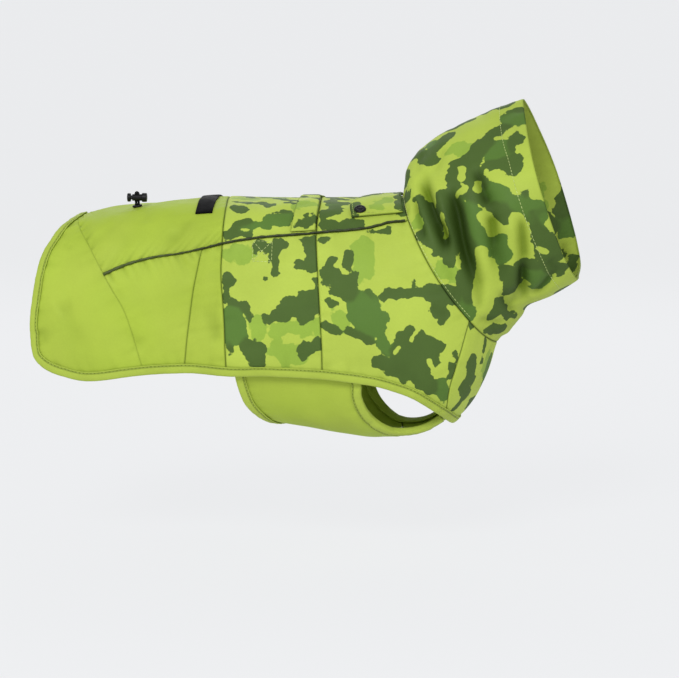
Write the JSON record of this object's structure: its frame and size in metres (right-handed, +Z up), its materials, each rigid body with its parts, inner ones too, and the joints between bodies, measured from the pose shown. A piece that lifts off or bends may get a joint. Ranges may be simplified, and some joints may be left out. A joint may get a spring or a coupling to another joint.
{
  "type": "dog raincoat",
  "caption": "Hooded dog raincoat in its worn form: an open-ended tube of sewn panels with a belly band, bound edges and a spring cord lock.",
  "frame": {"origin": "inner face of the back on the midline, where the coat rests on its wearer", "axes": "+X to the wearer's head, +Y to the wearer's left, +Z up"},
  "size_m": [0.4593, 0.164, 0.2855],
  "materials": {
    "lime": "coated softshell cloth, satin",
    "camo": "coated softshell cloth printed in four greens, satin",
    "binding": "folded elastic tape, matt",
    "piping": "reflective grey tape, satin",
    "label": "woven black tape, matt, bare",
    "plastic": "moulded black plastic, glossy",
    "cord": "braided black elastic cord"
  },
  "bodies": {
    "coat": {"back_camo": "camo", "back_rear": "lime", "back_yoke": "camo", "band_binding": "binding", "belly_band": "lime", "chest": "camo", "chest_strap": "lime", "cord_grommet": "plastic", "drawcord": "cord", "hem_binding_L": "binding", "hem_binding_R": "binding", "hood_L": "camo", "hood_R": "camo", "label": "label", "leash_flap": "camo", "leg_binding_L": "binding", "leg_binding_R": "binding", "lock_barrel": "plastic", "piping_L": "piping", "piping_R": "piping", "shoulder_L": "camo", "shoulder_R": "camo", "side_camo_L": "camo", "side_camo_R": "camo", "side_mid_L": "lime", "side_mid_R": "lime", "side_rear_L": "lime", "side_rear_R": "lime", "snap_cap": "plastic", "tail_L": "lime", "tail_R": "lime", "vent_flap": "camo"},
    "plunger": {"lock_plunger": "plastic"}
  },
  "joints": [
    {"name": "plunger_press", "type": "slide", "parent": "coat", "child": "plunger", "axis": [1, 0, 0], "range_m": [0, 0.0012], "stiffness_N_per_m": 300, "springref_m": -0.001}
  ]
}
